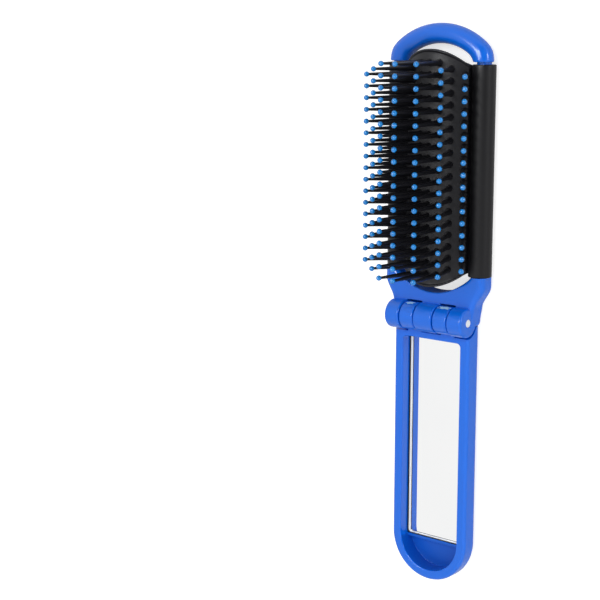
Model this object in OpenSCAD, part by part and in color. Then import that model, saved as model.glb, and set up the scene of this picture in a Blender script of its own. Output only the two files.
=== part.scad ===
// Folding hairbrush with a mirror in its handle.
// It lies open on its back: +Y runs from the handle to the head, +Z is the side of the bristles and the mirror.
// The origin is on the table under the middle of the open brush. All sizes are in millimetres.

/* [Brush] */
// Length of the head, from the hinge axis to the outside of the arch
head_len = 105; // [100:0.5:112]
// Length of the handle, from the hinge axis to its round end
handle_len = 99.9; // [92:0.1:104]
// Height of the hinge axis over the back of the brush
axis_h = 9.2; // [9:0.1:9.6]

/* [Hinge] */
// Radius of the frame's hinge knuckles
knuckle_r = 5.3; // [5.1:0.05:5.5]
// How much smaller the handle's knuckles are
knuckle_step = 0.2; // [0.1:0.05:0.4]
// Half the length of the hinge barrel
barrel_half = 16.75; // [16:0.05:17]
// Half the length of the middle knuckle
mid_knuckle_half = 3.9; // [3.4:0.05:4.2]
// Length of each of the handle's two knuckles
handle_knuckle_len = 5.85; // [5:0.05:6.2]
// Gap between neighbouring knuckles
knuckle_gap = 0.45; // [0.3:0.05:0.6]
// Radius of the hinge pin
pin_r = 1.45; // [1:0.05:2]
// Radial play of the handle's knuckles on the pin
pin_play = 0.05; // [0.03:0.01:0.1]
// Free space round the turning knuckles
barrel_clear = 0.45; // [0.3:0.05:0.6]

/* [Head frame] */
// Half the width of the frame beside the rails' lower ends
yoke_half = 21.4; // [20.8:0.1:21.8]
// Half the width of the frame beside the hinge
yoke_neck_half = 17.5; // [17:0.1:18.5]
// Radius of the yoke's inner arc
yoke_arc_r = 21.5; // [19:0.5:24]
// Distance from the hinge axis to the lowest point of that arc
yoke_arc_y = 9.3; // [8.8:0.1:10]
// How far the arch's sides stand in from the yoke's
arch_step = 0; // [0:0.05:0.6]
// Radius of the arch's outer curve
arch_outer_r = 29.2; // [27:0.1:36]
// Radius of the arch's inner curve
arch_inner_r = 22.7; // [20:0.1:25]
// Half the distance between the arch's legs
arch_inner_half = 14.9; // [14.2:0.1:16]
// Width of the arch at its top
arch_w = 7.15; // [6.4:0.05:8]
// Height of the arch from back to front
arch_h = 7.6; // [6.6:0.1:8]
// Height of the groove between the arch's legs and the tubes
leg_gap = 0.8; // [0.4:0.1:1.2]
// Radius of the side bars inside the rails
bar_r = 2.6; // [2.2:0.1:3]

/* [Rails] */
// Outer radius of each black tube
rail_r = 4.2; // [4:0.05:4.4]
// How far each tube stands out past the side of the yoke
rail_out = 0.6; // [0.4:0.05:0.8]
// Distance from the tubes' upper ends to the outside of the arch
rail_short = 14.2; // [13.8:0.05:15]
// Distance from the hinge axis to the tubes' lower ends
rail_y = 16.35; // [16.35:0.05:18]
// Radial play between the tubes and the side bars
rail_play = 0.05; // [0.02:0.01:0.1]

/* [Pad] */
// Height of the pad's crown over the hinge axis
pad_crown = 2.5; // [2:0.1:3]
// Height of the pad's side edges over the middle of the tubes
pad_edge = 2.21; // [2:0.01:2.4]
// Thickness of the pad
pad_t = 1.2; // [0.8:0.1:1.5]
// Gap between the pad's edge and the tube beside it
pad_side_gap = 0.35; // [0.3:0.05:0.6]
// Gap between the middle of the pad's end and the yoke
pad_yoke_gap = 2.45; // [2:0.05:4]
// Gap between the middle of the pad's other end and the arch
pad_arch_gap = 1.8; // [1:0.05:3]
// Radius of the pad's curved ends
pad_end_r = 18.6; // [16:0.1:22]
// Slit between neighbouring strips, which close up as the pad pops through
slit = 0.85; // [0.8:0.05:0.9]

/* [Bristles] */
// Distance between bristles in a column
pitch = 4.15; // [4.1:0.01:4.3]
// Least distance from the pad's ends to the first bristle
field_margin = 4.6; // [4:0.1:6]
// Distance from the pad's side edge to its outermost column
edge_column = 1.05; // [1:0.05:2]
// Place of each column on the way from the middle to the outermost one
column_share = [0, 0.32, 0.648, 1]; // [0:0.001:1]
// How far the bristles of each column lean out
lean = [0, 10.6, 22.5, 33]; // [0:0.5:35]
// Length of each column's bristles, from the pad to the middle of the ball
bristle_len = [20.43, 19.15, 16.59, 15.85]; // [12:0.01:20.5]
// Radius of a bristle at its root
root_r = 1.1; // [0.9:0.05:1.1]
// Radius of a bristle under its tip
neck_r = 0.45; // [0.35:0.05:0.5]
// Radius of the ball on each bristle
ball_r = 0.97; // [0.8:0.01:1]

/* [Handle] */
// Half the width of the handle
handle_half = 16.3; // [15.8:0.1:16.7]
// Distance from the hinge axis down to the handle's rim
rim_drop = 1; // [0.9:0.1:1.3]
// Radius of the rounded edges along the back
back_edge_r = 3.3; // [2:0.1:3.6]
// Radius of the rounded outer edge of the rim
rim_edge_r = 1.3; // [0.8:0.1:1.5]
// Half the width of the mirror recess
recess_half = 12.6; // [12.5:0.05:13.2]
// Depth of the recess down to the mirror
recess_depth = 4.2; // [4:0.05:4.4]
// Distance from the hinge axis to the recess's straight end
recess_start = 8.2; // [7.8:0.1:8.6]
// Width of the rim at the handle's round end
end_rim = 3.5; // [3:0.1:4]
// Radius of the recess's two corners
recess_corner_r = 1.5; // [1:0.1:2]
// Width of the rib that stops the glass at its lower end
rib_w = 1.1; // [0.8:0.1:1.6]
// Distance from the hinge axis to the handle's end face under the barrel
end_face = 2.05; // [1.9:0.05:2.3]

/* [Mirror] */
// Width of the glass
mirror_w = 24.9; // [24:0.1:25]
// Length of the glass
mirror_len = 76.9; // [70:0.1:77.5]
// Thickness of the glass
mirror_t = 1.8; // [1.5:0.1:1.9]
// Corner radius of the glass
mirror_corner_r = 1.2; // [1:0.1:2]
// Thickness of the foam tape behind it
tape_t = 0.3; // [0.2:0.05:0.4]
// Margin between the edges of the tape and the glass
tape_margin = 1.5; // [1:0.1:3]

/* [Hidden] */

blue = [0.1, 0.4, 0.9];
tip_blue = [0.25, 0.57, 0.84];
black = [0.13, 0.13, 0.14];
fine = 64;    // sides for round work
small = 24;   // sides for bristles
over = 0.1;   // how far a cutting tool runs past a face
reach = 60;   // larger than the brush is wide

axis_y = (handle_len - head_len) / 2;
handle_knuckle_x = mid_knuckle_half + knuckle_gap;
side_knuckle_x = handle_knuckle_x + handle_knuckle_len + knuckle_gap;
bar_z = rail_r - axis_h;             // height of the bars over the hinge axis
frame_front = 2 * rail_r - axis_h;   // the yoke is as high as the rails
rail_x = yoke_half + rail_out - rail_r;
rail_end = head_len - rail_short;
arch_half = yoke_half - arch_step;
yoke_back_gap = 0.05;                // yoke and handle end faces at the open stop
arch_inner_y = head_len - arch_w - arch_inner_r;
arch_outer_y = head_len - arch_outer_r;
arch_z = frame_front - arch_h / 2;    // the arch is level with the yoke's front
arch_outer_sharp = 24;               // how sharply the arch's shoulders turn outside
arch_inner_sharp = 14;               // and inside
arch_turn = 74;                      // degrees that the arch runs to each side, before it is trimmed
arch_steps = 48;
arch_sides = 24;
flare_start = 4.2;                   // the yoke's sides widen from here
flare_end = 13;                      // to here
flare_steps = 12;
bar_root = 3;                        // how far the bars run into the yoke
bar_seat = 0.3;                      // and into the arch

pad_half = rail_x - rail_r - pad_side_gap;
root_x = column_share * (pad_half - edge_column);   // where the columns stand, from the middle out
pad_start = yoke_arc_y + pad_yoke_gap;
pad_len = head_len - arch_w - pad_arch_gap - pad_start;
pad_mid = pad_start + pad_len / 2;
pad_rise = pad_crown - bar_z - pad_edge;
pad_r = (pad_half * pad_half + pad_rise * pad_rise) / 2 / pad_rise;   // radius of the pad's arched outside
pad_z = pad_crown - pad_r;           // axis of the pad's arch
long_count = floor((pad_len - 2 * field_margin) / pitch) + 1;
edge_x = [for (k = [0:2]) (root_x[k] + root_x[k + 1]) / 2];   // borders between the strips
root_sink = 0.5;                     // how deep a bristle's root starts inside the pad
ball_cut = sqrt(ball_r * ball_r - neck_r * neck_r);

floor_drop = rim_drop + recess_depth + mirror_t + tape_t;
web_sink = 1;                        // how far the knuckles' webs start inside the handle's faces
handle_end_y = handle_len - handle_half;
recess_end_y = handle_len - end_rim - recess_half;
glass_gap = recess_half - mirror_w / 2;
rib_y = recess_start + mirror_len + 2 * glass_gap;

// Carries its children from the hinge axis to where the brush lies on the table
module place() {
    translate([0, axis_y, axis_h]) children();
}

// A rod along X between two places
module rod_x(x0, x1, r) {
    translate([x0, 0, 0]) rotate([0, 90, 0]) cylinder(h = x1 - x0, r = r, $fn = fine);
}

// A rod along Y between two places
module rod_y(y0, y1, r) {
    translate([0, y0, 0]) rotate([-90, 0, 0]) cylinder(h = y1 - y0, r = r, $fn = fine);
}

// How far a curve lies from the centre of the arch's inner curve, toward the angle a from +Y. It blends a circle of
// radius r, whose centre is d lower, with two straight sides.
function arch_reach(a, d, r, side, sharp) = let (
    to_curve = -d * cos(a) + sqrt(r * r - d * d * sin(a) * sin(a)),
    to_side = side / max(abs(sin(a)), 0.01)
) pow(pow(to_curve, -sharp) + pow(to_side, -sharp), -1 / sharp);

// One ring of points round the arch at the angle a
function arch_ring(a) = let (
    far = arch_reach(a, arch_inner_y - arch_outer_y, arch_outer_r, arch_half, arch_outer_sharp),
    near = arch_reach(a, 0, arch_inner_r, arch_inner_half, arch_inner_sharp)
) [for (i = [0:arch_sides - 1]) let (
    u = 360 * i / arch_sides, r = (far + near) / 2 + (far - near) / 2 * cos(u)
) [r * sin(a), arch_inner_y + r * cos(a), arch_z + arch_h / 2 * sin(u)]];

// Outline of one side of the yoke, widening from the hinge to the rails in an S
function flare(side) = [for (i = [0:flare_steps]) let (
    t = i / flare_steps, s = (1 - cos(180 * t)) / 2
) [side * (yoke_neck_half + (yoke_half - yoke_neck_half) * s), flare_start + (flare_end - flare_start) * t]];

module arch() {
    points = [for (k = [0:arch_steps]) each arch_ring(-arch_turn + 2 * arch_turn * k / arch_steps)];
    sides = [for (k = [0:arch_steps - 1], i = [0:arch_sides - 1]) let (
        j = (i + 1) % arch_sides, a = k * arch_sides, b = a + arch_sides
    ) [a + i, b + i, b + j, a + j]];
    first = [for (i = [0:arch_sides - 1]) i];
    last = [for (i = [arch_sides - 1:-1:0]) arch_steps * arch_sides + i];
    intersection() {
        polyhedron(points, concat(sides, [first, last]), convexity = 4);
        translate([-reach / 2, rail_end + leg_gap, -reach / 2]) cube(reach);
    }
}

module yoke_plan() {
    difference() {
        polygon(concat(
            [[-barrel_half, -end_face + yoke_back_gap], [barrel_half, -end_face + yoke_back_gap], [barrel_half, 0]],
            flare(1), [[yoke_half, rail_y], [-yoke_half, rail_y]], [for (i = [flare_steps:-1:0]) flare(-1)[i]],
            [[-barrel_half, 0]]
        ));
        translate([0, yoke_arc_y + yoke_arc_r]) circle(yoke_arc_r, $fn = fine);
    }
}

module head_frame() {
    color(blue) place() {
        arch();
        for (side = [-1, 1])
            translate([side * rail_x, 0, bar_z]) rod_y(rail_y - bar_root, rail_end + leg_gap + bar_seat, bar_r);
        difference() {
            union() {
                translate([0, 0, -axis_h]) linear_extrude(axis_h + frame_front) yoke_plan();
                for (x = [-barrel_half, -mid_knuckle_half, side_knuckle_x])
                    rod_x(x, x == -mid_knuckle_half ? mid_knuckle_half : x + barrel_half - side_knuckle_x, knuckle_r);
            }
            for (side = [-1, 1]) {
                x = side * (handle_knuckle_x + handle_knuckle_len / 2);
                half = handle_knuckle_len / 2 + knuckle_gap;
                rod_x(x - half, x + half, knuckle_r + barrel_clear);
            }
            rod_x(-reach / 2, reach / 2, pin_r);
        }
    }
}

module hinge_pin() {
    color("silver") place() rod_x(-barrel_half, barrel_half, pin_r);
}

module rail(side) {
    color(black) place() translate([side * rail_x, 0, bar_z]) difference() {
        rod_y(rail_y, rail_end, rail_r);
        rod_y(rail_y - over, rail_end + over, bar_r + rail_play);
    }
}

// Outline of the pad, seen from above
module pad_plan() {
    half = pad_len / 2 - pad_end_r;
    translate([0, pad_mid]) intersection() {
        square([2 * pad_half, pad_len + 1], center = true);
        union() {
            for (side = [-1, 1]) translate([0, side * half]) circle(pad_end_r, $fn = 2 * fine);
            square([2 * pad_end_r, 2 * half], center = true);
        }
    }
}

// Slice of the pad's section between two angles from its middle
module pad_slice(a0, a1) {
    far = 2 * pad_r;
    intersection() {
        difference() {
            circle(pad_r, $fn = 4 * fine);
            circle(pad_r - pad_t, $fn = 4 * fine);
        }
        polygon([[0, 0], far * [sin(a0), cos(a0)], far * [sin((a0 + a1) / 2), cos((a0 + a1) / 2)], far * [sin(a1), cos(a1)]]);
    }
}

// Places of the bristles of column k, counted from the middle; the sixth and second columns stand at half phase
function column_count(k) = long_count - (k < 2 ? 0 : k - 1);
function column_y(k) = [for (i = [0:column_count(k) - 1]) pad_mid + pitch * (i - (column_count(k) - 1) / 2)];
function root_at(k) = [root_x[k], pad_z + sqrt(pad_r * pad_r - root_x[k] * root_x[k])];

// Puts its children at the root of each bristle of column k, with +Z along the bristle
module on_column(k) {
    for (y = column_y(k)) translate([root_at(k)[0], y, root_at(k)[1]]) rotate([0, lean[k], 0]) children();
}

module half_strip(k) {
    gap = slit / 2 / pad_r * 180 / PI;
    a0 = k == 0 ? -asin(edge_x[0] / pad_r) + gap : asin(edge_x[k - 1] / pad_r) + gap;
    a1 = k == 3 ? asin(pad_half / pad_r) + gap : asin(edge_x[k] / pad_r) - gap;
    intersection() {
        translate([0, pad_mid + pad_len, pad_z]) rotate([90, 0, 0]) linear_extrude(2 * pad_len) pad_slice(a0, a1);
        translate([0, 0, -axis_h]) linear_extrude(2 * axis_h) pad_plan();
    }
    on_column(k) translate([0, 0, -root_sink])
        cylinder(h = bristle_len[k] - ball_cut + root_sink, r1 = root_r, r2 = neck_r, $fn = small);
}

module half_tips(k) {
    on_column(k) translate([0, 0, bristle_len[k]]) intersection() {
        sphere(ball_r, $fn = small);
        translate([0, 0, -ball_cut]) cylinder(h = 2 * ball_r, r = 2 * ball_r, $fn = small);
    }
}

// Strips and tips are numbered 1 to 7 from -X to +X
module pad_strip(n) {
    color(black) place() mirror([n < 4 ? 1 : 0, 0, 0]) half_strip(abs(n - 4));
}

module tips(n) {
    color(tip_blue) place() mirror([n < 4 ? 1 : 0, 0, 0]) half_tips(abs(n - 4));
}

// Right half of the handle's outer section: x from the middle, y up
module handle_section() {
    height = axis_h - rim_drop;
    translate([0, -axis_h]) {
        square([handle_half - back_edge_r, height]);
        translate([0, back_edge_r]) square([handle_half, height - back_edge_r - rim_edge_r]);
        translate([0, height / 2]) square([handle_half - rim_edge_r, height / 2]);
        translate([handle_half - back_edge_r, back_edge_r]) circle(back_edge_r, $fn = fine);
        translate([handle_half - rim_edge_r, height - rim_edge_r]) circle(rim_edge_r, $fn = fine);
    }
}

module handle_block() {
    rotate([90, 0, 0]) linear_extrude(handle_end_y) {
        handle_section();
        mirror([1, 0]) handle_section();
    }
    translate([0, -handle_end_y, 0]) rotate([0, 0, 180]) rotate_extrude(angle = 180, $fn = 2 * fine) handle_section();
}

// Plan of the recess, round at one end
module recess_plan() {
    straight = recess_end_y - recess_start;
    translate([0, -recess_end_y]) circle(recess_half, $fn = 2 * fine);
    translate([-recess_half, -recess_end_y]) square([2 * recess_half, straight - recess_corner_r]);
    translate([-recess_half + recess_corner_r, -recess_end_y])
        square([2 * (recess_half - recess_corner_r), straight]);
    for (side = [-1, 1]) translate([side * (recess_half - recess_corner_r), -recess_start - recess_corner_r])
        circle(recess_corner_r, $fn = fine);
}

module handle_shell() {
    color(blue) place() difference() {
        union() {
            difference() {
                handle_block();
                rod_x(-reach / 2, reach / 2, knuckle_r + barrel_clear);
                translate([-reach / 2, -end_face, -reach / 2]) cube(reach);
            }
            for (side = [-1, 1]) translate([side * (handle_knuckle_x + handle_knuckle_len / 2), 0, 0]) {
                half = handle_knuckle_len / 2;
                rod_x(-half, half, knuckle_r - knuckle_step);
                translate([-half, -recess_start + web_sink, -axis_h + web_sink])
                    cube([2 * half, recess_start - end_face - web_sink, axis_h - rim_drop - web_sink]);
            }
        }
        translate([0, 0, -rim_drop - recess_depth]) linear_extrude(axis_h) recess_plan();
        translate([0, 0, -floor_drop]) linear_extrude(axis_h) difference() {
            recess_plan();
            translate([-reach / 2, -rib_y - rib_w]) square([reach, rib_w]);
        }
        rod_x(-reach / 2, reach / 2, pin_r + pin_play);
    }
}

// A rounded plate in the recess with its top at the height z
module recess_plate(margin, z, thickness) {
    width = mirror_w - 2 * margin;
    length = mirror_len - 2 * margin;
    r = mirror_corner_r;
    translate([0, -recess_start - glass_gap - mirror_len / 2, z - thickness]) linear_extrude(thickness) {
        square([width - 2 * r, length], center = true);
        square([width, length - 2 * r], center = true);
        for (sx = [-1, 1], sy = [-1, 1]) translate([sx * (width / 2 - r), sy * (length / 2 - r)]) circle(r, $fn = fine);
    }
}

module mirror_glass() {
    color("lightgray") place() recess_plate(0, -rim_drop - recess_depth, mirror_t);
}

module mirror_tape() {
    color("white") place() recess_plate(tape_margin, -rim_drop - recess_depth - mirror_t, tape_t);
}

head_frame();
hinge_pin();
rail(-1);  // rail_left
rail(1);  // rail_right
pad_strip(1);  // pad_strip_1
pad_strip(2);  // pad_strip_2
pad_strip(3);  // pad_strip_3
pad_strip(4);  // pad_strip_4
pad_strip(5);  // pad_strip_5
pad_strip(6);  // pad_strip_6
pad_strip(7);  // pad_strip_7
tips(1);  // tips_1
tips(2);  // tips_2
tips(3);  // tips_3
tips(4);  // tips_4
tips(5);  // tips_5
tips(6);  // tips_6
tips(7);  // tips_7
handle_shell();
mirror_glass();
mirror_tape();
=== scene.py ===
import math
import bmesh
import bpy
import numpy as np
from mathutils import Matrix, Vector


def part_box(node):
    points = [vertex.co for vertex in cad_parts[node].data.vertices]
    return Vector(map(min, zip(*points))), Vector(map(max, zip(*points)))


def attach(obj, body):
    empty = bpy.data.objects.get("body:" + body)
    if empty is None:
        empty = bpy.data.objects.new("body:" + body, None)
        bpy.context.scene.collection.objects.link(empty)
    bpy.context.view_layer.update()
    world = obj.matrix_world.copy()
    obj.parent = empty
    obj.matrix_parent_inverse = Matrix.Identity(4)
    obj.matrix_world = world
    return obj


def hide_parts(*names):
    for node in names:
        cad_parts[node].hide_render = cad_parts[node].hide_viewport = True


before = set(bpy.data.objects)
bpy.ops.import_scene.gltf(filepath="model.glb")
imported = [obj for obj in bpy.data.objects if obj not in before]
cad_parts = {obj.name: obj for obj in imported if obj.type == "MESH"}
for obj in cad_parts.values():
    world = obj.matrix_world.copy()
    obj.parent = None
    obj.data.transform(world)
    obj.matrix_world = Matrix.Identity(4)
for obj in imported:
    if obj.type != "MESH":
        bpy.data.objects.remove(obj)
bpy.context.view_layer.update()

# Folding hairbrush with a mirror in its handle, open and lying on its back.
# Sizes are in millimetres from the hinge axis: X across, Y towards the head, Z towards the bristles.

pinLow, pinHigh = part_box("hinge_pin")
hingeAt = np.array((pinLow + pinHigh) / 2)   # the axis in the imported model, in metres

# How every mesh is finished: points closer than the weld, in metres, become one
meshing = {"weld": 1e-7, "sharp": 38, "bevelRings": 2, "flatWeight": 80}


def arc(start, stop, count):   # evenly spaced angles, given in degrees
    return np.radians(np.linspace(start, stop, count))


def ease(t):   # 0 to 1 in a smooth S, level at both ends
    t = np.clip(t, 0, 1)
    return t * t * (3 - 2 * t)


# A grid of closed rings, each anticlockwise seen against its travel; the ends are capped, or joined in a loop
def shell(rings, capped=True, looped=False):
    count, around = rings.shape[:2]
    here = np.arange(around)
    after = np.roll(here, -1)
    rows = np.arange(count if looped else count - 1)[:, None] * around
    ahead = (rows + around) % (count * around)
    faces = np.stack([rows + here, rows + after, ahead + after, ahead + here], -1).reshape(-1, 4).tolist()
    if capped and not looped:
        faces += [here[::-1].tolist(), (here + (count - 1) * around).tolist()]
    return rings.reshape(-1, 3), faces


# A profile of (radius, place) pairs turned round a line along X, Y or Z
def turned(profile, along, sides, centre=(0, 0, 0), looped=False):
    radius, place = np.asarray(profile, float).T
    u = np.linspace(0, 2 * math.pi, sides, endpoint=False)
    a, b = np.outer(radius, np.cos(u)), np.outer(radius, np.sin(u))
    p = np.repeat(place[:, None], sides, 1)
    rings = np.stack([p, a, b] if along == "X" else [b, p, a] if along == "Y" else [a, b, p], -1)
    return shell(rings + np.asarray(centre, float), looped=looped)


# The same shell at many places: the turned points plus each offset
def repeated(part, offsets, turn):
    points, faces = part
    many = ((points @ turn.T)[None] + np.asarray(offsets)[:, None]).reshape(-1, 3)
    stride = len(points)
    return many, [[i + k * stride for i in face] for k in range(len(offsets)) for face in faces]


def asMesh(name, parts):   # each part is (points, faces) or (points, faces, finish of each face)
    points, faces, finish, start = [], [], [], 0
    for part in parts:
        points.append(part[0])
        faces += [[i + start for i in face] for face in part[1]]
        finish += list(part[2]) if len(part) > 2 else [0] * len(part[1])
        start += len(part[0])
    mesh = bpy.data.meshes.new(name)
    mesh.from_pydata((np.concatenate(points) / 1000 + hingeAt).tolist(), [], faces)
    mesh.polygons.foreach_set("material_index", finish)
    return mesh


# Takes each tool's solid out of the piece
def cutAway(piece, tools):
    cutters = []
    for tool in tools:
        cutter = bpy.data.objects.new("tool", asMesh("tool", [tool]))
        bpy.context.scene.collection.objects.link(cutter)
        cut = piece.modifiers.new("cut", "BOOLEAN")
        cut.operation, cut.solver, cut.object = "DIFFERENCE", "EXACT", cutter
        cutters.append(cutter)
    bpy.context.view_layer.update()
    done = bpy.data.meshes.new_from_object(piece.evaluated_get(bpy.context.evaluated_depsgraph_get()))
    piece.modifiers.clear()
    piece.data = done
    for cutter in cutters:
        bpy.data.objects.remove(cutter)


# Makes the piece, cuts it, adds what isn't cut, and rides it on its body in place of its nodes. Finish gives each face
# its material from where its middle is.
def makePiece(name, parts, body, nodes, materials, tools=(), added=(), sharp=meshing["sharp"], bevel=0,
              finish=None):
    piece = bpy.data.objects.new(name, asMesh(name, parts))
    bpy.context.scene.collection.objects.link(piece)
    bm = bmesh.new()
    bm.from_mesh(piece.data)
    bmesh.ops.remove_doubles(bm, verts=bm.verts, dist=meshing["weld"])
    bmesh.ops.recalc_face_normals(bm, faces=bm.faces)
    bm.to_mesh(piece.data)
    bm.free()
    if tools:
        cutAway(piece, tools)
    if added:
        bm = bmesh.new()
        bm.from_mesh(piece.data)
        bm.from_mesh(asMesh(name, added))
        bm.to_mesh(piece.data)
        bm.free()
    mesh = piece.data
    mesh.name = name
    mesh.shade_smooth()
    mesh.set_sharp_from_angle(angle=math.radians(sharp))
    if tools:
        mesh.materials.clear()
    for material in materials:
        mesh.materials.append(material)
    if finish:
        middles = np.empty(len(mesh.polygons) * 3)
        mesh.polygons.foreach_get("center", middles)
        worn = finish((middles.reshape(-1, 3) - hingeAt) * 1000)
        mesh.polygons.foreach_set("material_index", worn.astype(np.int32))
    if bevel:
        rounding = piece.modifiers.new("edges", "BEVEL")
        rounding.width, rounding.segments = bevel / 1000, meshing["bevelRings"]
        rounding.limit_method, rounding.angle_limit = "ANGLE", math.radians(sharp)
        rounding.use_clamp_overlap = True
    normals = piece.modifiers.new("flatFaces", "WEIGHTED_NORMAL")
    normals.keep_sharp, normals.weight = True, meshing["flatWeight"]
    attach(piece, body)
    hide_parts(*nodes)


def linear(hexColour):   # sRGB hex to linear
    values = [int(hexColour[i:i + 2], 16) / 255 for i in (1, 3, 5)]
    return [v / 12.92 if v <= 0.04045 else ((v + 0.055) / 1.055) ** 2.4 for v in values] + [1]


# Adds a node with its settings; inputs are values, or (node, output) pairs to link from
def addNode(tree, kind, settings=None, **inputs):
    node = tree.nodes.new(kind)
    for key, value in (settings or {}).items():
        setattr(node, key, value)
    for key, value in inputs.items():
        name = key.replace("_", " ")
        socket = node.inputs[int(name[1:])] if name[0] == "i" and name[1:].isdigit() else node.inputs[name]
        if isinstance(value, tuple) and len(value) == 2 and hasattr(value[0], "outputs"):
            tree.links.new(value[0].outputs[value[1]], socket)
        else:
            socket.default_value = value
    return node


def compute(tree, operation, *inputs, kind="ShaderNodeMath"):   # one operation on inputs given in order
    return addNode(tree, kind, {"operation": operation}, **{f"i{n}": value for n, value in enumerate(inputs)})


def remap(tree, value, start, stop, low, high, way="LINEAR"):   # carries start to stop over to low to high
    return addNode(tree, "ShaderNodeMapRange", {"interpolation_type": way}, Value=value, i1=start, i2=stop, i3=low,
                   i4=high)


def mixColours(tree, factor, first, second):
    return addNode(tree, "ShaderNodeMix", {"data_type": "RGBA"}, Factor=factor, i6=first, i7=second)


def newMaterial(name):
    material = bpy.data.materials.new(name)
    material.use_nodes = True
    material.node_tree.nodes.clear()
    return material, material.node_tree


# Noise of a real grain in millimetres on the piece's own coordinates
def grain(tree, size, detail, stretch=(1, 1, 1)):
    place = addNode(tree, "ShaderNodeTexCoord")
    turn = addNode(tree, "ShaderNodeMapping", Vector=(place, "Object"), Scale=stretch)
    return addNode(tree, "ShaderNodeTexNoise", Vector=(turn, "Vector"), Scale=1000 / size, Detail=detail)


noiseLow, noiseHigh = 0.3, 0.7   # nearly all of a noise's values lie between these
skinHeight, fineHeight = 0.0001, 0.00002   # of the bumps in a moulded skin, and of fine ones, in metres
# Noise times ragged is added to the distance from a painted glint patch's middle, in its half sizes. The patch is whole
# where that comes to less than one value, and gone beyond the other.
paintedGlint = {"grain": 0.9, "ragged": 1.6, "whole": 1.45, "gone": 1.75, "rough": 0.45}


# Torn patches of painted glint: the distance from each patch's middle over its half sizes, broken up by noise, taken as
# a threshold
def patches(tree, places):
    where = addNode(tree, "ShaderNodeTexCoord")
    torn = grain(tree, paintedGlint["grain"], 3)
    every = None
    for middle, half in places:
        shift = compute(tree, "SUBTRACT", (where, "Object"), tuple(hingeAt + np.array(middle) / 1000),
                        kind="ShaderNodeVectorMath")
        scaled = compute(tree, "DIVIDE", (shift, "Vector"), tuple(np.array(half) / 1000), kind="ShaderNodeVectorMath")
        far = compute(tree, "LENGTH", (scaled, "Vector"), kind="ShaderNodeVectorMath")
        edge = compute(tree, "MULTIPLY_ADD", (torn, "Fac"), paintedGlint["ragged"], (far, "Value"))
        patch = remap(tree, (edge, 0), paintedGlint["whole"], paintedGlint["gone"], 1.0, 0.0)
        every = compute(tree, "MAXIMUM", (every, 0), (patch, 0)) if every else patch
    return every


# Shades a plastic from its dictionary: two colours mixed in wide clouds, gloss that varies, and a moulded skin
def plastic(name, look):
    material, tree = newMaterial(name)
    stretch = look.get("stretch", (1, 1, 1))
    cloud = grain(tree, look["cloud"], 3)
    tint = mixColours(tree, (cloud, "Fac"), linear(look["dark"]), linear(look["light"]))
    smear = grain(tree, look["smear"], 2, stretch)
    gloss = remap(tree, (smear, "Fac"), noiseLow, noiseHigh, *look["rough"])
    # Pale patches painted in as a highlight where the knuckles glint
    if "paintedGlints" in look:
        mask = patches(tree, look["paintedGlints"])
        tint = mixColours(tree, (mask, 0), (tint, 2), linear(look["glintColour"]))
        gloss = remap(tree, (mask, 0), 0.0, 1.0, (gloss, "Result"), paintedGlint["rough"])
    skin = grain(tree, look["skin"], 2, stretch)
    fine = grain(tree, look["fine"], 1)
    wide = addNode(tree, "ShaderNodeBump", Height=(skin, "Fac"), Strength=look["skinDepth"], Distance=skinHeight)
    bump = addNode(tree, "ShaderNodeBump", Height=(fine, "Fac"), Strength=look["fineDepth"], Distance=fineHeight,
                   Normal=(wide, "Normal"))
    shader = addNode(tree, "ShaderNodeBsdfPrincipled", Base_Color=(tint, 2), Roughness=(gloss, "Result"),
                     Normal=(bump, "Normal"), IOR=look["ior"], Specular_IOR_Level=look["shine"])
    addNode(tree, "ShaderNodeOutputMaterial", Surface=(shader, "BSDF"))
    return material


# Injection-moulded ABS from a polished mould: even, strong blue with a broad soft gloss and a faint orange peel
absLook = {
    "dark": "#0664D8", "light": "#0A6BE1", "cloud": 40, "smear": 9, "rough": (0.13, 0.19),
    "skin": 4.5, "skinDepth": 0.12, "fine": 0.35, "fineDepth": 0.2, "ior": 1.54, "shine": 0.45,
}
mouldedAbs = plastic("mouldedBlueAbs", absLook)
# The same plastic with painted shade for the yoke's arc wall: deeper in colour, and next to no gloss from fine spark
# erosion in the mould
mattShadedAbs = plastic("mouldedBlueAbsMattPaintedShade", {
    **absLook, "dark": "#044FB4", "light": "#0655BE", "rough": (0.5, 0.6), "shine": 0.08,
})
# The same plastic in the open end of the recess and on its floor: darker in colour as painted shade, and less glossy
# where the mould was only half polished
shadedPocketAbs = plastic("mouldedBlueAbsPocketPaintedShade", {
    **absLook, "dark": "#0454BC", "light": "#0659C4", "rough": (0.3, 0.4), "shine": 0.3,
})
# The same plastic with a painted highlight: a pale patch on each of the handle's knuckles, just below the slots they
# turn in, stands for the glint seen there. Each patch is its middle and its half sizes.
handleAbs = plastic("mouldedBlueAbsPaintedGlint", {
    **absLook, "glintColour": "#A6D4EC",
    "paintedGlints": [((-7.5, 4.9, 1.35), (2.3, 1.2, 1.0)), ((7.4, 4.8, 1.45), (2.9, 1.2, 1.15))],
})
# Moulded soft polypropylene: near black, satin, slightly uneven where it shrank
satinBlack = plastic("satinBlackPolypropylene", {
    "dark": "#16161A", "light": "#1C1C21", "cloud": 15, "smear": 5, "rough": (0.3, 0.4),
    "skin": 2.5, "skinDepth": 0.35, "fine": 0.3, "fineDepth": 0.6, "ior": 1.49, "shine": 0.33,
})
# The same plastic as a tube, drawn off its core: the gloss runs along it in long soft streaks
railBlack = plastic("mouldedTubeBlackPolypropylene", {
    "dark": "#0E0E10", "light": "#131316", "cloud": 20, "smear": 3, "rough": (0.33, 0.4), "stretch": (1, 0.12, 1),
    "skin": 3, "skinDepth": 0.2, "fine": 0.4, "fineDepth": 0.4, "ior": 1.49, "shine": 0.3,
})
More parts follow.
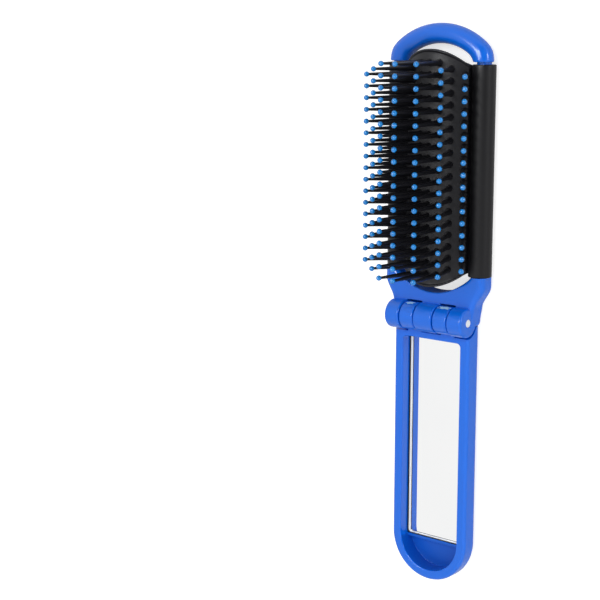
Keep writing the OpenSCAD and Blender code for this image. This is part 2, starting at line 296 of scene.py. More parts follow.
# Nylon balls moulded onto the bristles: small, smooth and glossy
ballNylon = plastic("mouldedBallNylon", {
    "dark": "#1079C8", "light": "#1C8CDA", "cloud": 12, "smear": 2, "rough": (0.05, 0.09),
    "skin": 1.5, "skinDepth": 0.1, "fine": 0.3, "fineDepth": 0.2, "ior": 1.53, "shine": 0.6,
})
# Closed-cell foam tape, seen only at its edges
foamTape = plastic("foamTape", {
    "dark": "#D8D8D2", "light": "#E4E4DE", "cloud": 8, "smear": 1, "rough": (0.8, 0.9),
    "skin": 0.8, "skinDepth": 0.6, "fine": 0.2, "fineDepth": 0.8, "ior": 1.45, "shine": 0.3,
})


# Metal with fine drawing marks: the shine breaks along them
def metal(name, look):
    material, tree = newMaterial(name)
    marks = grain(tree, look["marks"], 2, look["stretch"])
    tint = mixColours(tree, (marks, "Fac"), linear(look["dark"]), linear(look["light"]))
    gloss = remap(tree, (marks, "Fac"), noiseLow, noiseHigh, *look["rough"])
    bump = addNode(tree, "ShaderNodeBump", Height=(marks, "Fac"), Strength=look["depth"], Distance=fineHeight)
    shader = addNode(tree, "ShaderNodeBsdfPrincipled", Base_Color=(tint, 2), Roughness=(gloss, "Result"),
                     Normal=(bump, "Normal"), Metallic=1.0)
    addNode(tree, "ShaderNodeOutputMaterial", Surface=(shader, "BSDF"))
    return material


# Drawn steel wire with a nickel plating: pale, with marks along the pin
drawnSteel = metal("drawnNickelledSteel", {
    "dark": "#F6F6F4", "light": "#FFFFFF", "marks": 0.3, "stretch": (0.05, 1, 1), "rough": (0.5, 0.62), "depth": 0.3,
})
# Silver behind float glass: almost perfect, with a trace of haze
silvered = metal("silveredFloatGlass", {
    "dark": "#F9FAFA", "light": "#FDFDFD", "marks": 30, "stretch": (1, 1, 1), "rough": (0.012, 0.02), "depth": 0.01,
})
# Ground glass edge, painted white and matt as the reflection its bevel shows, with a trace of blue
groundGlassPaintedReflection = plastic("groundGlassEdgePaintedReflection", {
    "dark": "#FAFDFF", "light": "#FFFFFF", "cloud": 10, "smear": 1, "rough": (0.3, 0.42),
    "skin": 0.6, "skinDepth": 0.3, "fine": 0.2, "fineDepth": 0.8, "ior": 1.52, "shine": 0.5,
})
# Black on the rim of the glass: backing paint, made black as painted shade of the gap round the glass
paintedGapShade = plastic("paintedGapShade", {
    "dark": "#0B0C10", "light": "#14151A", "cloud": 10, "smear": 1, "rough": (0.5, 0.6),
    "skin": 0.8, "skinDepth": 0.3, "fine": 0.3, "fineDepth": 0.4, "ior": 1.5, "shine": 0.4,
})
print("materials made")


# The hinge. The middle of the barrel and the handle's two knuckles are given by where they start and end along X.
hinge = {
    "barrelHalf": 16.75, "middleHalf": 3.9, "handleFrom": 4.35, "handleTo": 10.2, "sideFrom": 10.65,
    "frameRadius": 5.3, "handleRadius": 5.1, "pinRadius": 1.45,
    "clearRadius": 5.75, "seatRadius": 6.25, "middleSeatRadius": 6.05, "proud": 0.02,
    "edge": 0.5, "endEdge": 0.9, "core": 0.6, "sides": 96,
    "holeDepth": 1.2, "holeChamfer": 0.12, "holeFace": 0.7,
}


# A knuckle is a disc's outline turned round X, with a quarter round at each rim and maybe the pin's hole in one end
def knuckle(x0, x1, radius, holeAt=None):
    t = arc(0, 90, 7)
    e = hinge["endEdge" if holeAt == "start" else "edge"]
    start = np.stack([radius - e + e * np.sin(t), x0 + e - e * np.cos(t)], 1)
    e = hinge["endEdge" if holeAt == "stop" else "edge"]
    stop = np.stack([radius - e + e * np.cos(t), x1 - e + e * np.sin(t)], 1)
    first, last = [[hinge["core"] * radius, x0]], [[hinge["core"] * radius, x1]]
    r, deep, chamfer, face = hinge["pinRadius"], hinge["holeDepth"], hinge["holeChamfer"], hinge["holeFace"] * radius
    if holeAt == "start":
        first = [[r, x0 + deep], [r, x0 + chamfer], [r + chamfer, x0], [face, x0]]
    if holeAt == "stop":
        last = [[face, x1], [r + chamfer, x1], [r, x1 - chamfer], [r, x1 - deep]]
    return turned(np.concatenate([first, start, stop, last]), "X", hinge["sides"])


def rod(x0, x1, radius):   # a plain cylinder along X, used only as a tool
    return turned([[radius, min(x0, x1)], [radius, max(x0, x1)]], "X", hinge["sides"])


# The yoke. Its sections' corners go from the inner front one round to the inner back one: their radii in the plate, and
# what the arms add to them between two shares of the way from the middle to an arm's end.
headSizes = {
    "back": -9.2, "front": -0.8, "half": 21.4, "neckHalf": 17.5, "flareFrom": 4.2, "flareTo": 13, "tail": -2.0,
    "arcRadius": 21.5, "arcCentre": 30.8, "railEnd": 16.35, "cornerRadius": 1.1, "barrelInset": 0.1,
    "plateRounds": (0.5, 1.8, 2.6, 0.9), "armRounds": (1.5, 0.9, 0.4, 1.3), "armFrom": 0.55, "armOver": 0.4,
    "armSteps": 130, "flareSteps": 25, "sideSteps": 40, "bevel": 0.12,
    "wallReach": 0.1, "wallUnder": 0.35,   # how near a face lies to the arc's wall, and how far under the front
}


# The yoke is a band carried along its inner arc. P runs on the arc and Q on the outline, both from the left rail to the
# right one, and each section is a box from P to Q whose four corners are rounded by radii that change along the way.
def yokeBand(s):
    t = np.linspace(-1, 1, s["armSteps"] + 1)
    down = s["arcCentre"] - s["railEnd"]
    innerTurn = math.acos(down / s["arcRadius"])
    outerTurn = math.atan(s["half"] / down)
    p = np.stack([s["arcRadius"] * np.sin(t * innerTurn), s["arcCentre"] - s["arcRadius"] * np.cos(t * innerTurn)], 1)
    # The outline's right side: straight down from the rail, in an S to the neck, and round the corner to the middle
    steps = np.linspace(0, 1, s["flareSteps"])
    flare = np.stack([s["half"] - (s["half"] - s["neckHalf"]) * (1 - np.cos(math.pi * steps)) / 2,
                      s["flareTo"] - (s["flareTo"] - s["flareFrom"]) * steps], 1)
    c, half = s["cornerRadius"], hinge["barrelHalf"] - s["barrelInset"]
    quarter = arc(0, 90, 9)
    corner = np.stack([half - c + c * np.cos(quarter), s["tail"] + c - c * np.sin(quarter)], 1)
    top = [s["half"], s["railEnd"] - 1e-6]   # just inside, so that the last section finds it
    side = np.concatenate([[top], flare, [[half, 0]], corner, [[0, s["tail"]]]])
    fine = np.linspace(0, 1, s["sideSteps"])[:, None]
    dense = (side[:-1, None] * (1 - fine) + side[1:, None] * fine).reshape(-1, 2)
    # Q is where the outline is met by lines that turn evenly round the arc's centre
    angle = np.arctan2(dense[:, 0], s["arcCentre"] - dense[:, 1])[::-1]
    far = np.hypot(dense[:, 0], s["arcCentre"] - dense[:, 1])[::-1]
    turn = t * outerTurn
    reach = np.interp(np.abs(turn), angle, far)
    q = np.stack([reach * np.sin(turn), s["arcCentre"] - reach * np.cos(turn)], 1)
    arm = ease((np.abs(t) - s["armFrom"]) / s["armOver"])[:, None]   # 0 in the plate, 1 where it is an arm
    radii = np.array(s["plateRounds"]) + np.array(s["armRounds"]) * arm
    width = np.linalg.norm(q - p, axis=1)[:, None]
    low, high = s["back"], s["front"]
    cornerTurn = arc(0, 90, 8)[None]
    falling, rising = 1 - np.sin(cornerTurn), 1 - np.cos(cornerTurn)   # 1 to 0 and 0 to 1, round a quarter
    innerFront, outerFront, outerBack, innerBack = (radii[:, i:i + 1] for i in range(4))
    across = np.concatenate([innerFront * rising, width - outerFront * falling,
                             width - outerBack * rising, innerBack * falling], 1)
    height = np.concatenate([high - innerFront * falling, high - outerFront * rising,
                             low + outerBack * falling, low + innerBack * rising], 1)
    toward = (q - p) / width
    xy = p[:, None] + across[:, :, None] * toward[:, None]
    return shell(np.concatenate([xy, height[:, :, None]], 2))


# The arch. Each curve is a wide circle with a centre on the midline, and a half width where its sides are straight.
archSizes = {
    "half": 21.4, "outerRadius": 29.2, "outerCentre": 75.8, "outerSharp": 24,
    "innerHalf": 14.9, "innerRadius": 22.7, "innerCentre": 75.15, "innerSharp": 14,
    "halfHeight": 3.8, "middle": -4.6, "legEnd": 91.6, "endRound": 0.5, "steps": 160, "sides": 48,
    "turns": (0.2, 1.4, 600),   # the turns from straight up between which a leg may end, and how many are tried
}


# A wide circle blended with two straight sides: seen from a centre, the distances to both are raised to a high negative
# power, added, and brought back by the same power
def blendReach(angle, shift, radius, side, sharp):
    toCurve = -shift * np.cos(angle) + np.sqrt(radius ** 2 - (shift * np.sin(angle)) ** 2)
    toSide = side / np.maximum(np.abs(np.sin(angle)), 0.01)   # straight up, the sides are far but not endless
    return (toCurve ** -sharp + toSide ** -sharp) ** (-1 / sharp)


# The arch is an oval carried between its inner and outer curves, and both run down to its legs' ends
def archTube(s):
    t = np.linspace(-1, 1, s["steps"] + 1)
    inner = (0, s["innerRadius"], s["innerHalf"], s["innerSharp"])
    outer = (s["innerCentre"] - s["outerCentre"], s["outerRadius"], s["half"], s["outerSharp"])
    tried = np.linspace(*s["turns"])
    curves = []
    for curve in (inner, outer):
        height = s["innerCentre"] + blendReach(tried, *curve) * np.cos(tried)
        turn = t * np.interp(-s["legEnd"] - s["endRound"], -height, tried)
        reach = blendReach(turn, *curve)
        curves.append(np.stack([reach * np.sin(turn), s["innerCentre"] + reach * np.cos(turn)], 1))
    p, q = curves
    centre, halfWidth = (p + q) / 2, (q - p) / 2
    u = np.linspace(0, 2 * math.pi, s["sides"], endpoint=False)
    xy = centre[:, None] + halfWidth[:, None] * np.cos(u)[None, :, None]
    z = np.repeat((s["middle"] + s["halfHeight"] * np.sin(u))[None], len(t), 0)
    rings = np.concatenate([xy, z[:, :, None]], 2)
    ends = []   # each leg's end rounds off: its last ring shrinks by a quarter round as it goes down
    for ring, middle in ((rings[0], centre[0]), (rings[-1], centre[-1])):
        mid = np.array([middle[0], middle[1], s["middle"]])
        size = np.linalg.norm(ring - mid, axis=1).mean()
        v = arc(15, 90, 5)[:, None, None]
        shrink = 1 - s["endRound"] * (1 - np.cos(v)) / size
        ends.append(mid + (ring - mid)[None] * shrink - np.array([0, 1, 0]) * s["endRound"] * np.sin(v))
    return shell(np.concatenate([ends[0][::-1], rings, ends[1]]))


railSizes = {
    "x": 17.8, "z": -5.0, "from": 16.35, "to": 90.8, "radius": 4.2, "bore": 2.65, "edge": 0.4, "boreEdge": 0.25,
    "sides": 96, "rows": 30, "rowsFrom": 2,
    "barRadius": 2.6, "barRoot": 3, "barSeat": 0.3, "barSides": 32,   # the frame's bar inside the tube
}

frameTools = [rod(side * (hinge["middleHalf"] - hinge["proud"]), side * (hinge["sideFrom"] + hinge["proud"]),
                  hinge["clearRadius"]) for side in (-1, 1)]
barEnds = (railSizes["from"] - railSizes["barRoot"], archSizes["legEnd"] + railSizes["barSeat"])
bars = [turned([[railSizes["barRadius"], y] for y in barEnds], "Y", railSizes["barSides"],
               (side * railSizes["x"], 0, railSizes["z"])) for side in (-1, 1)]
frameKnuckles = [
    knuckle(-hinge["barrelHalf"], -hinge["sideFrom"], hinge["frameRadius"], "start"),
    knuckle(-hinge["middleHalf"], hinge["middleHalf"], hinge["frameRadius"]),
    knuckle(hinge["sideFrom"], hinge["barrelHalf"], hinge["frameRadius"], "stop"),
]


# Faces on this wall get the darker plastic, which is painted shade
def onArc(middles):   # the wall of the yoke's arc, from under its front round to the back
    x, y, z = middles.T
    fromArc = np.abs(np.hypot(x, y - headSizes["arcCentre"]) - headSizes["arcRadius"])
    inPlate = (y < headSizes["railEnd"]) & (z < headSizes["front"] - headSizes["wallUnder"])
    return (fromArc < headSizes["wallReach"]) & inPlate


makePiece("headFrame", [yokeBand(headSizes)], "head", ["head_frame"], [mouldedAbs, mattShadedAbs],
          tools=frameTools, added=[archTube(archSizes), *bars, *frameKnuckles], bevel=headSizes["bevel"],
          finish=onArc)
print("head frame made")


# The pin has a small round at each end
pinSizes = {"half": hinge["barrelHalf"] - 0.05, "round": 0.3, "sides": 48}
pinEnd = arc(0, 90, 5)
pinStop = np.stack([hinge["pinRadius"] - pinSizes["round"] * (1 - np.cos(pinEnd)),
                    pinSizes["half"] - pinSizes["round"] * (1 - np.sin(pinEnd))], 1)
pinProfile = np.concatenate([(pinStop * [1, -1])[::-1], pinStop])
makePiece("hingePin", [turned(pinProfile, "X", pinSizes["sides"])], "head", ["hinge_pin"], [drawnSteel])


# A rail's wall is a loop of (radius, place) pairs, rounded at its four end corners, turned round Y
def railTube(s, side):
    e, inner = s["edge"], s["boreEdge"]
    t = arc(0, 90, 7)
    outStart = np.stack([s["radius"] - e * (1 - np.sin(t)), s["from"] + e * (1 - np.cos(t))], 1)
    outStop = np.stack([s["radius"] - e * (1 - np.cos(t)), s["to"] - e * (1 - np.sin(t))], 1)
    inStop = np.stack([s["bore"] + inner * (1 - np.sin(t)), s["to"] - inner * (1 - np.cos(t))], 1)
    inStart = np.stack([s["bore"] + inner * (1 - np.cos(t)), s["from"] + inner * (1 - np.sin(t))], 1)
    places = np.linspace(s["from"] + s["rowsFrom"], s["to"] - s["rowsFrom"], s["rows"])
    middle = np.stack([np.full(s["rows"], s["radius"]), places], 1)
    profile = np.concatenate([outStart, middle, outStop, inStop, inStart])
    return turned(profile, "Y", s["sides"], (side * s["x"], 0, s["z"]), looped=True)


for side, label in ((-1, "left"), (1, "right")):
    makePiece(label + "Rail", [railTube(railSizes, side)], "head", ["rail_" + label], [railBlack])
print("rails made")


# The pad: a piece of a tube's wall round an axis along Y. Borders are where its strips meet, the rows' insets are
# measured from an end, and the bead beside an end has its crest, rise and fall as shares of its width.
padSizes = {
    "radius": 19.239, "thick": 1.2, "axisZ": -16.739, "middle": 53.9, "length": 84.3, "half": 13.25, "endRadius": 18.6,
    "borders": (1.952, 5.905, 10.053), "insets": (0, 0.06, 0.2, 0.42, 0.7, 0.9, 1.05, 1.25, 2.2), "rows": 41,
    "bead": 0.45, "beadWidth": 1.0, "crest": 0.45, "rise": 0.5, "fall": 0.7,
    "columnTurn": 1.1, "leastColumns": 6, "plumbOver": 0.08, "sharp": 50,
    "tongue": 0.4, "tongueRoot": 0.6, "tongueReach": 1.3, "tongueShort": 1.6, "tongueRows": 25,
}
# The bristles of each column, from the middle one out. They taper from the root to the neck, and rings stand at the
# heights above the pad, at a share of the length, and just under the ball.
bristleSizes = {
    "rootX": (0, 3.904, 7.906, 12.2), "lean": (0, 10.6, 22.5, 33), "length": (20.43, 19.15, 16.59, 15.85),
    "count": (19, 19, 18, 17), "pitch": 4.15, "root": 1.1, "neck": 0.45, "flare": 0.22, "flareFade": 0.3,
    "sunk": 0.5, "heights": (0, 0.18, 0.45, 0.9, 1.8), "midShare": 0.55, "underBall": 0.6, "sides": 10,
    "ball": 0.97, "ballEnd": 86, "ballRings": 9, "ballSides": 14, "ballSharp": 60,
}


def endReach(x, s):   # half the pad's length at a distance x from its middle
    return s["length"] / 2 - s["endRadius"] + np.sqrt(s["endRadius"] ** 2 - np.minimum(np.abs(x), s["half"]) ** 2)


# A strip is a piece of a tube's wall between two angles. Along Y its rows follow the pad's curved ends: each row is a
# fixed distance from the nearer end there, and the outside swells into a bead beside it.
def padPlate(a0, a1, s):
    insets = np.array(s["insets"])
    across = np.linspace(a0, a1, max(s["leastColumns"], int(abs(a1 - a0) / math.radians(s["columnTurn"]))))
    under = s["radius"] - s["thick"]
    widest = math.asin(s["half"] / s["radius"])
    plumb = math.asin(s["half"] / under) - widest   # the pad's long edges are upright
    atEdge = np.clip((np.abs(across) - widest + s["plumbOver"]) / s["plumbOver"], 0, 1)
    below = across + plumb * np.sign(across) * atEdge
    # The bead rises as a quarter circle up to its crest, and falls in a smooth S behind it
    d = insets / s["beadWidth"]
    rising = np.sqrt(np.clip(1 - ((s["crest"] - d) / s["rise"]) ** 2, 0, 1))
    swell = s["bead"] * np.where(d < s["crest"], rising, 1 - ease((d - s["crest"]) / s["fall"]))
    limit = endReach(s["radius"] * np.sin(across), s)

    def row(radius, y):   # one row of points across the strip, on a circle round the pad's axis
        turn = below if radius == under else across
        return np.stack([radius * np.sin(turn), s["middle"] + y, s["axisZ"] + radius * np.cos(turn)], 1)

    nearEnd, farEnd = [[(row(s["radius"] + w, side * (limit - n)), row(under, side * (limit - n)))
                        for n, w in zip(insets, swell)] for side in (-1, 1)]
    body = [(row(s["radius"], f * (limit - insets[-1])), row(under, f * (limit - insets[-1])))
            for f in np.linspace(-1, 1, s["rows"])[1:-1]]
    ordered = nearEnd + body + farEnd[::-1]
    rings = np.array([np.concatenate([outer, inner[::-1]]) for outer, inner in ordered])
    points, faces = shell(rings, capped=False)
    n = len(across)
    last = (len(ordered) - 1) * 2 * n
    for start, flip in ((0, True), (last, False)):   # the two ends, in quads from the outside to the underside
        for i in range(n - 1):
            quad = [start + i, start + i + 1, start + 2 * n - 2 - i, start + 2 * n - 1 - i]
            faces.append(quad if flip else quad[::-1])
    return points, faces


# A thin web inside the plate that covers the groove beside it when the pad has popped through
def tongue(angle, outward, s):
    middle = s["radius"] - s["thick"] / 2
    along = np.linspace(-s["tongueRoot"], s["tongueReach"], 7)   # straight on from the plate's middle
    x = middle * math.sin(angle) + outward * math.cos(angle) * along
    z = s["axisZ"] + middle * math.cos(angle) - outward * math.sin(angle) * along
    reach = endReach(np.abs(x), s) - s["tongueShort"]
    up = np.array([math.sin(angle), 0, math.cos(angle)]) * s["tongue"] / 2
    rings = []
    for f in np.linspace(-1, 1, s["tongueRows"]):
        flat = np.stack([x, s["middle"] + f * reach, z], 1)
        rings.append(np.concatenate([flat + up, (flat - up)[::-1]]))
    return shell(np.array(rings))


# A bristle tapers evenly from root to neck, with a flare that dies away within a millimetre of the pad
def bristle(length, s):
    t = np.array([-s["sunk"], *s["heights"], length * s["midShare"], length - s["underBall"]])
    taper = s["root"] + (s["neck"] - s["root"]) * np.clip(t / length, 0, 1)
    radius = taper + s["flare"] * np.exp(-np.maximum(t, 0) / s["flareFade"])
    return turned(np.stack([radius, t], 1), "Z", s["sides"])


def ball(s):   # a circle's points turned round the bristle's axis
    v = arc(-s["ballEnd"], s["ballEnd"], s["ballRings"])
    return turned(np.stack([s["ball"] * np.cos(v), s["ball"] * np.sin(v)], 1), "Z", s["ballSides"])


for n in range(1, 8):
    k, side = abs(n - 4), -1 if n < 4 else 1   # the column's number from the middle, and its side
    borders = [math.asin(x / padSizes["radius"]) for x in (*padSizes["borders"], padSizes["half"])]
    a0, a1 = (-borders[0], borders[0]) if k == 0 else (borders[k - 1], borders[k])
    parts = [padPlate(*((a0, a1) if side > 0 else (-a1, -a0)), padSizes)]
    if k < 3:   # nothing lies beyond the outermost strips
        parts += [tongue(side * a1, side, padSizes)] + ([tongue(-a1, -1, padSizes)] if k == 0 else [])
    lean = math.radians(bristleSizes["lean"][k]) * side
    turn = np.array([[math.cos(lean), 0, math.sin(lean)], [0, 1, 0], [-math.sin(lean), 0, math.cos(lean)]])
    x = side * bristleSizes["rootX"][k]
    z = padSizes["axisZ"] + math.sqrt(padSizes["radius"] ** 2 - x * x)
    count = bristleSizes["count"][k]
    y = padSizes["middle"] + bristleSizes["pitch"] * (np.arange(count) - (count - 1) / 2)
    roots = np.stack([np.full(count, x), y, np.full(count, z)], 1)
    parts.append(repeated(bristle(bristleSizes["length"][k], bristleSizes), roots, turn))
    makePiece(f"padStrip{n}", parts, f"strip_{n}", [f"pad_strip_{n}"], [satinBlack],
              sharp=padSizes["sharp"])
    tipAt = roots + turn @ np.array([0, 0, bristleSizes["length"][k]])
    makePiece(f"tipBalls{n}", [repeated(ball(bristleSizes), tipAt, turn)], f"strip_{n}", [f"tips_{n}"],
              [ballNylon], sharp=bristleSizes["ballSharp"])
print("pad and bristles made")


# The handle. Its outlines have a square end at a place along Y and a round one whose centre lies at the drop.
handleSizes = {
    "half": 16.3, "drop": 83.6, "back": -9.2, "rim": -1.0, "backRound": 3.3, "rimRound": 1.2, "endFace": -2.05,
    "recessHalf": 12.6, "recessTop": -8.2, "recessDrop": 83.8, "recessCorner": 1.5, "floor": -7.7, "lip": 0.45,
    "fillet": 0.14, "bevel": 0.12,
    "pastHinge": 5, "smallCorner": 0.5, "backInset": 6, "floorInset": 4,   # the first runs on, to be cut
    "ribFrom": -85.4, "ribTo": -86.5, "ribTop": -5.2, "ribRound": 0.25, "ribSunk": 0.3, "ribSideGap": 0.1,
}
# Which faces belong to the open end of the recess and get its painted shade: how far out, beyond the rib, under the rim
# and round the floor
pocket = {"out": 0.05, "beyondRib": 0.6, "underRim": 0.5, "overFloor": 0.3, "underFloor": 0.1}
beyond = 30   # a tool's face that lies outside the brush


# A closed outline with a square end and a round one, the same number of points whatever its size
def stadium(half, top, corner, drop):
    c = arc(0, 90, 7)
    right = np.stack([half - corner + corner * np.cos(c), top - corner + corner * np.sin(c)], 1)
    left = (right * [-1, 1])[::-1]
    down = np.linspace(top - corner, -drop, 12)[1:-1]
    leftSide = np.stack([np.full(len(down), -half), down], 1)
    bottom = arc(180, 360, 61)
    roundEnd = np.stack([half * np.cos(bottom), -drop + half * np.sin(bottom)], 1)
    return np.concatenate([right, left, leftSide, roundEnd, (leftSide * [-1, 1])[::-1]])


# The handle is one surface: outlines from the back, round the outside, over the rim and down into the recess
def handleBody(s):
    def outside(inset, z):   # the handle's outline, pulled in
        return s["half"] - inset, s["pastHinge"], s["smallCorner"], s["drop"], z

    def inside(out, z):   # the recess's outline, let out
        return s["recessHalf"] + out, s["recessTop"] + out, s["recessCorner"] + out, s["recessDrop"], z

    t = arc(0, 90, 9)
    back, rim, lip, fillet = s["backRound"], s["rimRound"], s["lip"], s["fillet"]
    levels = [outside(back + s["backInset"], s["back"])]
    levels += [outside(back * (1 - math.sin(a)), s["back"] + back * (1 - math.cos(a))) for a in t]
    levels += [outside(rim * (1 - math.cos(a)), s["rim"] - rim * (1 - math.sin(a))) for a in t]
    levels += [inside(lip * (1 - math.sin(a)), s["rim"] - lip * (1 - math.cos(a))) for a in t[::2]]
    levels += [inside(-fillet * (1 - math.cos(a)), s["floor"] + fillet * (1 - math.sin(a))) for a in t]
    floorIn = fillet + s["floorInset"]
    levels += [(s["recessHalf"] - floorIn, s["recessTop"] - floorIn, s["smallCorner"], s["recessDrop"], s["floor"])]
    rings = []
    for half, top, corner, drop, z in levels:
        flat = stadium(half, top, corner, drop)
        rings.append(np.concatenate([flat, np.full((len(flat), 1), z)], 1))
    return shell(np.array(rings))


def block(x0, x1, y0, y1, z0, z1):   # a plain box, used only as a tool
    corners = np.array([[[x0, y0], [x1, y0], [x1, y1], [x0, y1]]] * 2)
    heights = np.array([[z0] * 4, [z1] * 4])[:, :, None]
    return shell(np.concatenate([corners, heights], 2))


# The rib that stops the glass is a low bar across the recess, with its two top edges rounded
def rib(s):
    e, t = s["ribRound"], arc(0, 90, 5)
    near = np.stack([s["ribFrom"] - e + e * np.cos(t), s["ribTop"] - e + e * np.sin(t)], 1)
    far = np.stack([s["ribTo"] + e - e * np.sin(t), s["ribTop"] - e + e * np.cos(t)], 1)
    foot = s["floor"] - s["ribSunk"]
    section = np.concatenate([[[s["ribFrom"], foot]], near, far, [[s["ribTo"], foot]]])
    x = np.linspace(-1, 1, 9) * (s["recessHalf"] - s["ribSideGap"])
    return shell(np.array([np.concatenate([np.full((len(section), 1), place), section], 1) for place in x]))


handleTools = [
    block(-beyond, beyond, handleSizes["endFace"], beyond, -beyond, beyond),
    rod(-hinge["handleFrom"] - hinge["proud"], hinge["handleFrom"] + hinge["proud"], hinge["middleSeatRadius"]),
    rod(hinge["handleTo"] - hinge["proud"], beyond, hinge["seatRadius"]),
    rod(-beyond, -hinge["handleTo"] + hinge["proud"], hinge["seatRadius"]),
]
handleKnuckles = [knuckle(*sorted((side * hinge["handleFrom"], side * hinge["handleTo"])), hinge["handleRadius"])
                  for side in (-1, 1)]


# These faces get the darker plastic: painted shade in the recess
def inPocket(middles):   # the floor and wall of the open end of the recess, and the floor under the glass
    x, y, z = middles.T
    s = handleSizes
    inside = np.hypot(x, np.minimum(y + s["recessDrop"], 0)) < s["recessHalf"] + pocket["out"]
    openEnd = (y < s["ribTo"] + pocket["beyondRib"]) & (z < s["rim"] - pocket["underRim"])
    onFloor = z < s["floor"] + pocket["overFloor"]
    return inside & (openEnd | onFloor) & (z > s["floor"] - pocket["underFloor"])


makePiece("handleShell", [handleBody(handleSizes)], "handle", ["handle_shell"], [handleAbs, shadedPocketAbs],
          tools=handleTools, added=[*handleKnuckles, rib(handleSizes)], bevel=handleSizes["bevel"], finish=inPocket)
print("handle made")


# The mirror. Paint and ground are the widths of those bands, at the long edges and at the short ones. The paint band is
# painted shade.
mirrorSizes = {
    "half": 12.43, "length": 76.84, "end": -8.38, "bottom": -7.0, "top": -5.2,
    "corner": 1.2, "cornerShrink": 0.5, "leastCorner": 0.4, "chamfer": 0.1,
    "paint": (0.28, 0.2), "painted": 0.55, "paintLean": 0.02, "ground": (0.06, 0.15),
    "silver": -6.4, "silverInset": 3, "sharp": 8,
}


# A rounded plate whose outlines shrink inwards: side, painted rim, painted and then ground edge, down to where the
# silver seems to lie. Black paint there is painted shade, and the white ground edge a painted reflection.
def mirrorPlate(s):
    def outline(inX, inY):   # anticlockwise, a quarter round at each corner
        half, r = s["half"] - inX, max(s["corner"] - inX * s["cornerShrink"], s["leastCorner"])
        high, low = s["end"] - inY, s["end"] - s["length"] + inY
        c = arc(0, 90, 7)
        corners = [(half - r, high - r, 0), (-half + r, high - r, 90),
                   (-half + r, low + r, 180), (half - r, low + r, 270)]
        return np.concatenate([np.stack([x + r * np.cos(c + math.radians(a)), y + r * np.sin(c + math.radians(a))], 1)
                               for x, y, a in corners])

    (px, py), (gx, gy), top, lean, inset = s["paint"], s["ground"], s["top"], s["paintLean"], s["silverInset"]
    levels = [
        (0, 0, s["bottom"]), (0, 0, top - s["chamfer"]), (s["chamfer"], s["chamfer"], top), (px, py, top),
        (px + lean, py + lean, top - s["painted"]), (px + gx, py + gy, s["silver"]),
        (px + gx + inset, py + gy + inset, s["silver"]),
    ]
    flat = [(outline(x, y), z) for x, y, z in levels]
    rings = np.array([np.concatenate([points, np.full((len(points), 1), z)], 1) for points, z in flat])
    points, faces = shell(rings)
    around = rings.shape[1]
    # paint is black as painted shade, ground is white as a painted reflection
    silver, ground, paint = 0, 1, 2
    finish = [paint] * 4 * around + [ground] * around + [silver] * around + [paint, silver]
    return points, faces, finish


makePiece("mirrorGlass", [mirrorPlate(mirrorSizes)], "handle", ["mirror_glass"],
          [silvered, groundGlassPaintedReflection, paintedGapShade], sharp=mirrorSizes["sharp"])
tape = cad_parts["mirror_tape"]
tape.data.materials.clear()
tape.data.materials.append(foamTape)
print("mirror made")


# The studio. The camera's place is in millimetres from the hinge, and its three directions are unit lengths. The world
# and the paper have strengths, and smooth steps from one to another between the two values given.
studio = {
    "place": (305.4, 106.0, 436.6), "right": (0.7658, 0, -0.6431), "up": (-0.1184, 0.9829, -0.1410),
    "back": (0.6321, 0.1841, 0.7527), "lens": 89.786, "sensor": 36,
    "fill": 0.22, "backdrop": 1.0, "ceiling": 0.93, "ceilingOver": (0.15, 0.55),
    "darkSide": 0.15, "darkWay": (0.602, 0.502, 0.622), "darkOver": (0.76, 0.9),
    "floorSize": 6.0, "lift": 0.7, "gleam": 0.22, "afar": 0.35, "afarOver": (0.3, 1.0),
    "lamps": {   # place, what it faces, width and height, all in metres, watts, and whether it is for colour and gloss
        "softbox": ((0.55, -0.8, 1.18), (0, 0, 0), 1.7, 1.4, 14.0, True, False),
        "rightSoftbox": ((1.3, 0.4, 0.35), (0, 0, 0), 1.3, 0.7, 7.6, True, False),
        "leftSoftbox": ((-1.35, 0.5, 0.35), (0, 0, 0), 1.4, 0.7, 5.5, True, False),
        "farSoftbox": ((-0.12, 0.55, 1.12), (0, 0, 0), 0.9, 0.7, 7.0, True, False),
        "highLamp": ((-0.1, 0.38, 1.2), (0, 0.08, 0), 0.8, 0.34, 10.4, False, True),
        "lowLamp": ((1.22, 0.42, 0.11), (0, 0.08, 0), 0.3, 0.2, 2.4, False, True),
    },
}
scene = bpy.context.scene
scene.view_settings.view_transform = "Standard"

lens = bpy.data.cameras.new("camera")
lens.lens, lens.sensor_width = studio["lens"], studio["sensor"]
camera = bpy.data.objects.new("camera", lens)
scene.collection.objects.link(camera)
axes = Matrix((studio["right"], studio["up"], studio["back"])).transposed().to_4x4()
moved = Matrix.Translation(Vector(np.array(studio["place"]) / 1000 + hingeAt))
camera.matrix_world = moved @ axes.to_quaternion().to_matrix().to_4x4()
scene.camera = camera

for name, (place, facing, width, height, power, onColour, inGloss) in studio["lamps"].items():
    lamp = bpy.data.lights.new(name, "AREA")
    lamp.shape, lamp.size, lamp.size_y, lamp.energy = "RECTANGLE", width, height, power
    holder = bpy.data.objects.new(name, lamp)
    scene.collection.objects.link(holder)
    holder.location = place
    holder.visible_diffuse, holder.visible_glossy = onColour, inGloss
    holder.rotation_euler = (Vector(facing) - Vector(place)).to_track_quat("-Z", "Y").to_euler()


# What a direct look or a mirror sees, against what lights the object
def seen(tree):
    path = addNode(tree, "ShaderNodeLightPath")
    both = compute(tree, "MAXIMUM", (path, "Is Camera Ray"), (path, "Is Glossy Ray"))
    return compute(tree, "MAXIMUM", (both, 0), (path, "Is Transmission Ray"))


world = bpy.data.worlds.new("tent")
scene.world = world
world.use_nodes = True
tree = world.node_tree
tree.nodes.clear()
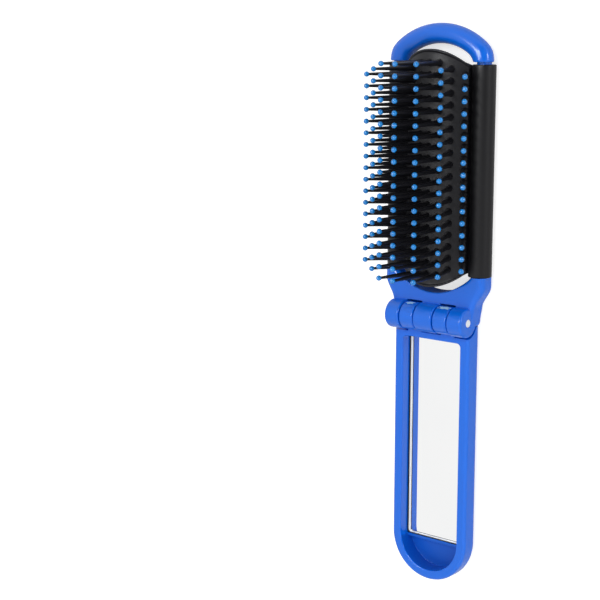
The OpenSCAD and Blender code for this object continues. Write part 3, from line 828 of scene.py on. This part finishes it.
# Gloss sees white walls, a greyer ceiling, and a darker side above and behind the camera
way = addNode(tree, "ShaderNodeTexCoord")
height = addNode(tree, "ShaderNodeSeparateXYZ", Vector=(way, "Generated"))
walls = remap(tree, (height, "Z"), *studio["ceilingOver"], studio["backdrop"], studio["ceiling"], "SMOOTHSTEP")
toward = compute(tree, "DOT_PRODUCT", (way, "Generated"), studio["darkWay"], kind="ShaderNodeVectorMath")
shade = remap(tree, (toward, "Value"), *studio["darkOver"], 1.0, studio["darkSide"], "SMOOTHSTEP")
room = compute(tree, "MULTIPLY", (walls, "Result"), (shade, "Result"))
eye = addNode(tree, "ShaderNodeLightPath")
fill, tent, white = (addNode(tree, "ShaderNodeBackground", Color=linear("#FFFFFF"), Strength=strength)
                     for strength in (studio["fill"], (room, 0), studio["backdrop"]))
lit = addNode(tree, "ShaderNodeMixShader", i0=(seen(tree), 0), i1=(fill, 0), i2=(tent, 0))
mixed = addNode(tree, "ShaderNodeMixShader", i0=(eye, "Is Camera Ray"), i1=(lit, 0), i2=(white, 0))
addNode(tree, "ShaderNodeOutputWorld", Surface=(mixed, 0))

# Seamless white paper: its own white, and a little more to the eye so that it runs into the background
paper, tree = newMaterial("seamlessPaper")
fibre = grain(tree, 2, 3)
tint = mixColours(tree, (fibre, "Fac"), linear("#C4C4C4"), linear("#C9C9C9"))
matt = addNode(tree, "ShaderNodeBsdfDiffuse", Color=(tint, 2))
eye = addNode(tree, "ShaderNodeLightPath")
gleam = compute(tree, "MULTIPLY", (seen(tree), 0), studio["gleam"])
lift = compute(tree, "MULTIPLY_ADD", (eye, "Is Camera Ray"), studio["lift"] - studio["gleam"], (gleam, 0))
# The lamps fall off with distance, so the paper gets a little more white away from the object
spot = addNode(tree, "ShaderNodeTexCoord")
away = compute(tree, "LENGTH", (spot, "Object"), kind="ShaderNodeVectorMath")
more = remap(tree, (away, "Value"), *studio["afarOver"], 0.0, studio["afar"], "SMOOTHSTEP")
lift = compute(tree, "MULTIPLY_ADD", (seen(tree), 0), (more, "Result"), (lift, 0))
glow = addNode(tree, "ShaderNodeEmission", Color=linear("#FFFFFF"), Strength=(lift, 0))
both = addNode(tree, "ShaderNodeAddShader", i0=(matt, 0), i1=(glow, 0))
addNode(tree, "ShaderNodeOutputMaterial", Surface=(both, 0))
floorMesh = bpy.data.meshes.new("floor")
h = studio["floorSize"] / 2
floorMesh.from_pydata([(-h, -h, 0), (h, -h, 0), (h, h, 0), (-h, h, 0)], [], [(0, 1, 2, 3)])
floorMesh.materials.append(paper)
floor = bpy.data.objects.new("floor", floorMesh)
scene.collection.objects.link(floor)
print("studio made")
